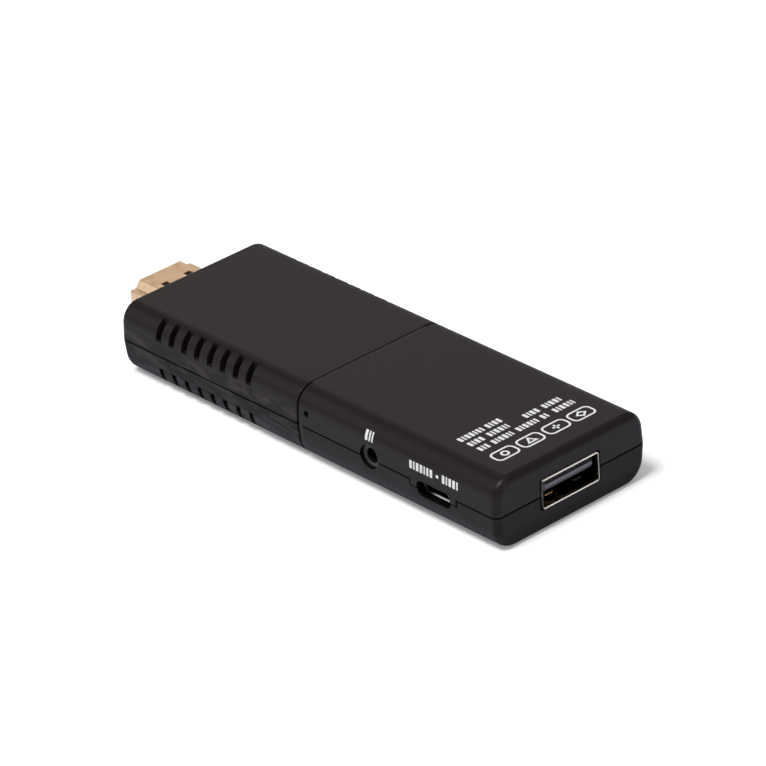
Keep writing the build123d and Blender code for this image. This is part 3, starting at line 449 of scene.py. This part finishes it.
NODE_MATERIALS = {
    casing: ["front_upper_shell", "rear_upper_shell", "seam_collar"],
    casing_low_shaded: ["front_lower_shell", "rear_lower_shell"],
    board: ["main_board", "radio_module_board"],
    gold: ["display_plug_shell"],
    contact: [
        "display_plug_contacts", "host_socket_contacts", "power_socket_contacts", "sensor_jack_contacts",
    ],
    black: ["display_plug_insulator", "power_socket_insulator", "reset_switch_base"],
    rim_gold: ["host_socket_shell"],
    tongue: ["host_socket_insulator"],
    steel: ["power_socket_shell"],
    jack_grey: ["sensor_jack_body"],
    shield: [
        "reset_switch_bracket", "radio_module_shield", "radio_antenna", "main_crystal", "clock_crystal",
    ],
    knob: ["reset_switch_plunger"],
    dome: ["reset_switch_dome"],
    resin: [
        "processor_chip", "memory_chips", "flash_chip", "power_manager_chip", "radio_chip",
        "regulator_chips", "surge_arrays",
    ],
    silicone: ["heat_pad"],
    sink: ["heat_sink"],
    ferrite: ["power_inductors"],
    tan: ["bulk_capacitors", "small_capacitors"],
    film: ["small_resistors"],
}
for material, names in NODE_MATERIALS.items():
    for name in names:
        mesh = NODES[name].data
        mesh.materials.clear()
        mesh.materials.append(material)


# Printed marks: plain blocks and simple figures, laid on the casing's own surface

BLOCK_WIDTHS = (0.62, 0.36, 0.62, 0.62, 0.36, 0.5)
BLOCK_GAP = 0.3
SHORTEST_BLOCK = 0.25
SHARPEST_MITRE = 0.5
RING_POINTS = 28
MERGE_DISTANCE = 1e-7

# Rows of blocks on the top: the place of a row's middle along the stick, and its spans across it
ROW_HEIGHT = 1.4
ROWS = [
    (37.6, [(-10.7, -5.4), (-4.6, -1.2)]),
    (39.85, [(-10.6, -7.2), (-6.3, -1.9), (1.8, 5.1), (6.1, 10.3)]),
    (42.2, [(-10.6, -8.5), (-7.5, -3.1), (-2.0, 2.5), (3.5, 5.3), (6.3, 10.7)]),
]
# Four framed figures below the rows, each at its place across the stick
FIGURES_V = 46.2
RING_U = -8.55
TRIANGLE_U = -2.83
CROSS_U = 2.94
RHOMBUS_U = 8.63
FRAME_LENGTH = 4.75
FRAME_HEIGHT = 2.8
FRAME_RADIUS = 0.95
RING_RADIUS = 0.62
THIN_LINE = 0.38
THICK_LINE = 0.4
# The strokes of the figures, from each one's middle, with the line's width and whether it closes
STROKES = [
    (TRIANGLE_U, [(-0.85, 0.62), (0.85, 0.62), (0.0, -0.75)], THIN_LINE, True),
    (CROSS_U, [(-0.8, 0.0), (0.8, 0.0)], THICK_LINE, False),
    (CROSS_U, [(0.0, -0.75), (0.0, 0.75)], THICK_LINE, False),
    (RHOMBUS_U, [(-0.9, 0.0), (0.0, -0.75), (0.9, 0.0), (0.0, 0.75)], THIN_LINE, True),
]
# Marks on the near side: from and to along the stick, from and to in height
OVER_JACK = (21.05, 22.95, 10.05, 11.75)
OVER_POWER_LEFT = (31.9, 37.4, 8.85, 10.3)
OVER_POWER_BAR = (38.2, 38.9, 9.25, 9.85)
OVER_POWER_RIGHT = (39.7, 43.7, 8.85, 10.3)


def arc(u, v, radius, start, step, count):
    """Points on a circle around (u, v), from the angle start on, a step apart, in degrees."""
    angles = [math.radians(start + k * step) for k in range(count)]
    return [(u + radius * math.cos(a), v + radius * math.sin(a)) for a in angles]


class Ink:
    """Collects flat figures in two coordinates and lays them on a surface."""

    def __init__(self):
        self.points = []
        self.faces = []

    def patch(self, corners, steps=(1, 1)):
        """A four-sided patch, divided so that it can follow a curve."""
        nu, nv = steps
        base = len(self.points)
        a, b, c, d = [Vector(p) for p in corners]
        for j in range(nv + 1):
            for i in range(nu + 1):
                s, t = i / nu, j / nv
                self.points.append((a * (1 - s) + b * s) * (1 - t) + (d * (1 - s) + c * s) * t)
        for j in range(nv):
            for i in range(nu):
                k = base + j * (nu + 1) + i
                self.faces.append((k, k + 1, k + nu + 2, k + nu + 1))

    def line(self, points, width, closed=False):
        """A line of even width through the points, mitred at each one."""
        pts = [Vector(p) for p in points]
        n = len(pts)
        inner, outer = [], []
        for i, p in enumerate(pts):
            before = pts[(i - 1) % n] if closed or i else p
            after = pts[(i + 1) % n] if closed or i < n - 1 else p
            d0 = (p - before).normalized() if (p - before).length else (after - p).normalized()
            d1 = (after - p).normalized() if (after - p).length else d0
            normal = Vector((-(d0 + d1).y, (d0 + d1).x)).normalized()
            reach = width / 2 / max(SHARPEST_MITRE, normal.dot(Vector((-d0.y, d0.x))))
            inner.append(p - normal * reach)
            outer.append(p + normal * reach)
        for i in range(n if closed else n - 1):
            j = (i + 1) % n
            self.patch((inner[i], inner[j], outer[j], outer[i]))

    def bar(self, u0, u1, v0, v1):
        """A bar along u with round ends."""
        half = (v1 - v0) / 2
        middle = (v0 + v1) / 2
        self.patch(((u0 + half, v0), (u1 - half, v0), (u1 - half, v1), (u0 + half, v1)), (6, 2))
        for centre, start in ((u1 - half, -90), (u0 + half, 90)):
            hub = (centre, middle)
            points = arc(centre, middle, half, start, 30, 7)
            for p0, p1 in zip(points, points[1:]):
                self.patch((hub, p0, p1, hub))

    def blocks(self, u0, u1, v0, v1):
        """A row of upright blocks of three widths from u0 to u1."""
        u = u0
        k = 0
        while u + SHORTEST_BLOCK < u1:
            end = min(u1, u + BLOCK_WIDTHS[k % len(BLOCK_WIDTHS)])
            self.patch(((u, v0), (end, v0), (end, v1), (u, v1)), (1, 4))
            u = end + BLOCK_GAP
            k += 1

    def ring(self, u, v, radius, width):
        self.line(arc(u, v, radius, 0, 360 / RING_POINTS, RING_POINTS), width, closed=True)

    def rounded_frame(self, u, v, length, height, radius, width):
        """A rounded rectangle drawn as a line."""
        points = []
        for cu, cv, start in ((1, 1, 0), (-1, 1, 90), (-1, -1, 180), (1, -1, 270)):
            hub_u = u + cu * (length / 2 - radius)
            hub_v = v + cv * (height / 2 - radius)
            points += arc(hub_u, hub_v, radius, start, 15, 7)
        self.line(points, width, closed=True)

    def build(self, name, surface, material):
        """Lays the figures on a surface, as a piece that rides on the stick's body."""
        mesh = bpy.data.meshes.new(name)
        mesh.from_pydata([surface(p.x, p.y) for p in self.points], [], self.faces)
        work = bmesh.new()
        work.from_mesh(mesh)
        bmesh.ops.remove_doubles(work, verts=work.verts, dist=MERGE_DISTANCE)
        work.to_mesh(mesh)
        work.free()
        mesh.materials.append(material)
        piece = bpy.data.objects.new(name, mesh)
        bpy.context.scene.collection.objects.link(piece)
        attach(piece, "stick_body")


def on_top(u, v):
    """u runs along the print lines, across the stick, and v down the lines, towards the host socket."""
    return Vector((v, u, CASE_TOP + INK_LIFT)) * MM


def on_near_side(u, v):
    """u runs along the stick and v is the height, on the side wall and the rounded edge above it."""
    hub_z = CASE_TOP - TOP_EDGE_R
    lean = math.sqrt(1 + UPPER_SIDE_SLOPE ** 2)
    hub_y = CASE_HALF_WIDTH - UPPER_SIDE_SLOPE * (hub_z - PARTING_Z) - TOP_EDGE_R * lean
    wall = CASE_HALF_WIDTH - UPPER_SIDE_SLOPE * (v - PARTING_Z)
    if v > hub_z + TOP_EDGE_R * UPPER_SIDE_SLOPE / lean:
        wall = hub_y + math.sqrt(TOP_EDGE_R ** 2 - (v - hub_z) ** 2)
    return Vector((u, -(wall + INK_LIFT), v)) * MM


ink = print_ink()
top = Ink()
for v, spans in ROWS:
    for u0, u1 in spans:
        top.blocks(u0, u1, v - ROW_HEIGHT / 2, v + ROW_HEIGHT / 2)
for u in (RING_U, TRIANGLE_U, CROSS_U, RHOMBUS_U):
    top.rounded_frame(u, FIGURES_V, FRAME_LENGTH, FRAME_HEIGHT, FRAME_RADIUS, THIN_LINE)
top.ring(RING_U, FIGURES_V, RING_RADIUS, THICK_LINE)
for u, stroke, width, closed in STROKES:
    top.line([(u + du, FIGURES_V + dv) for du, dv in stroke], width, closed)
top.build("top_print_marks", on_top, ink)

side = Ink()
side.blocks(*OVER_JACK)
side.blocks(*OVER_POWER_LEFT)
side.bar(*OVER_POWER_BAR)
side.blocks(*OVER_POWER_RIGHT)
side.build("side_print_marks", on_near_side, ink)


# Floor, light and camera

FLOOR_HALF = 4.0
FLOOR_Z = -0.02 * MM
FLOOR_COLOUR = (0.89, 0.9, 0.94)
SECOND_COAT = 0.27
HAZE = 0.2
MIRRORED_GLOW = (0.03, 0.05, 0.13)

WARM_WHITE = (1.0, 0.98, 0.965)
SOFT_WHITE = (1.0, 0.98, 0.97)
COOL_WHITE = (0.95, 0.97, 1.0)
AMBER_WHITE = (1.0, 0.9, 0.86)
# Name, place and size in metres, watts and colour. All of them face the origin
LAMPS = [
    ("near_key", (0.06, -0.55, 1.2), (0.5, 0.5), 13.0, WARM_WHITE),
    ("overhead", (0.45, 0.15, 1.3), (1.1, 1.1), 2.2, SOFT_WHITE),
    ("left_front_box", (-0.8, -0.64, 0.56), (0.9, 0.8), 1.9, COOL_WHITE),
    ("left_back_box", (-0.8, 0.68, 0.53), (0.8, 0.58), 1.0, AMBER_WHITE),
    ("end_fill", (1.2, 0.1, 0.45), (0.6, 0.75), 1.5, COOL_WHITE),
]
WORLD_STRENGTH = 0.12

# The camera: lens and sensor in millimetres, nearest and furthest view, axes and place in metres
LENS = 236.746
SENSOR_WIDTH = 36.0
CLIP_START = 0.05
CLIP_END = 20.0
CAMERA_RIGHT = (0.67135941, 0.73803982, -0.06762959)
CAMERA_UP = (-0.31640254, 0.36793768, 0.87436337)
CAMERA_BACK = (0.67019846, -0.5656139, 0.48053609)
CAMERA_PLACE = (0.575133, -0.479531, 0.415858)


def added(tree, first, second):
    """Two shaders on top of each other."""
    both = tree.nodes.new("ShaderNodeAddShader")
    tree.links.new(first, both.inputs[0])
    tree.links.new(second, both.inputs[1])
    return both.outputs["Shader"]


def glow(tree, colour, strength):
    """Light of a colour, as strong as the output given."""
    made = tree.nodes.new("ShaderNodeEmission")
    made.inputs["Color"].default_value = (*colour, 1.0)
    tree.links.new(strength, made.inputs["Strength"])
    return made.outputs["Emission"]


def floor_white():
    """White that keeps the shadow on it pale in the picture."""
    mat = bpy.data.materials.new("floor_white")
    mat.use_nodes = True
    tree = mat.node_tree
    shader = tree.nodes["Principled BSDF"]
    shader.inputs["Base Color"].default_value = (*FLOOR_COLOUR, 1.0)
    shader.inputs["Roughness"].default_value = 0.9
    shader.inputs["Specular IOR Level"].default_value = 0.1
    # The camera sees a second coat of white and some haze
    path = tree.nodes.new("ShaderNodeLightPath")
    to_camera = path.outputs["Is Camera Ray"]
    second = tree.nodes.new("ShaderNodeBsdfDiffuse")
    second.inputs["Color"].default_value = (SECOND_COAT, SECOND_COAT, SECOND_COAT, 1.0)
    seen = tree.nodes.new("ShaderNodeMixShader")
    tree.links.new(to_camera, seen.inputs["Fac"])
    tree.links.new(second.outputs["BSDF"], seen.inputs[2])
    out = added(tree, shader.outputs["BSDF"], seen.outputs["Shader"])
    out = added(tree, out, glow(tree, (HAZE, HAZE, HAZE), to_camera))
    # In reflections, and through anything clear, the floor has a faint blue glow
    mirrored = tree.nodes.new("ShaderNodeMath")
    tree.links.new(path.outputs["Is Glossy Ray"], mirrored.inputs[0])
    tree.links.new(path.outputs["Is Transmission Ray"], mirrored.inputs[1])
    out = added(tree, out, glow(tree, MIRRORED_GLOW, mirrored.outputs["Value"]))
    tree.links.new(out, tree.nodes["Material Output"].inputs["Surface"])
    return mat


def make_floor():
    mesh = bpy.data.meshes.new("floor")
    corners = [(x * FLOOR_HALF, y * FLOOR_HALF, FLOOR_Z) for x, y in ((-1, -1), (1, -1), (1, 1), (-1, 1))]
    mesh.from_pydata(corners, [], [(0, 1, 2, 3)])
    mesh.materials.append(floor_white())
    floor = bpy.data.objects.new("floor", mesh)
    bpy.context.scene.collection.objects.link(floor)


def area_light(name, place, size, power, colour):
    light = bpy.data.lights.new(name, "AREA")
    light.shape = "RECTANGLE"
    light.size, light.size_y = size
    light.energy = power
    light.color = colour
    lamp = bpy.data.objects.new(name, light)
    lamp.location = place
    lamp.rotation_euler = (-Vector(place)).to_track_quat("-Z", "Y").to_euler()
    bpy.context.scene.collection.objects.link(lamp)
    return lamp


make_floor()
lamps = {name: area_light(name, *settings) for name, *settings in LAMPS}
# This box only shows in the gloss of the stick
lamps["left_back_box"].visible_diffuse = False

world = bpy.data.worlds.new("studio")
bpy.context.scene.world = world
world.use_nodes = True
background = world.node_tree.nodes["Background"]
background.inputs["Color"].default_value = (*COOL_WHITE, 1.0)
background.inputs["Strength"].default_value = WORLD_STRENGTH

camera_data = bpy.data.cameras.new("camera")
camera_data.lens = LENS
camera_data.sensor_width = SENSOR_WIDTH
camera_data.clip_start = CLIP_START
camera_data.clip_end = CLIP_END
camera = bpy.data.objects.new("camera", camera_data)
camera.matrix_world = Matrix((
    *zip(CAMERA_RIGHT, CAMERA_UP, CAMERA_BACK, CAMERA_PLACE),
    (0, 0, 0, 1),
))
bpy.context.scene.collection.objects.link(camera)
bpy.context.scene.camera = camera
bpy.context.scene.view_settings.view_transform = "Standard"
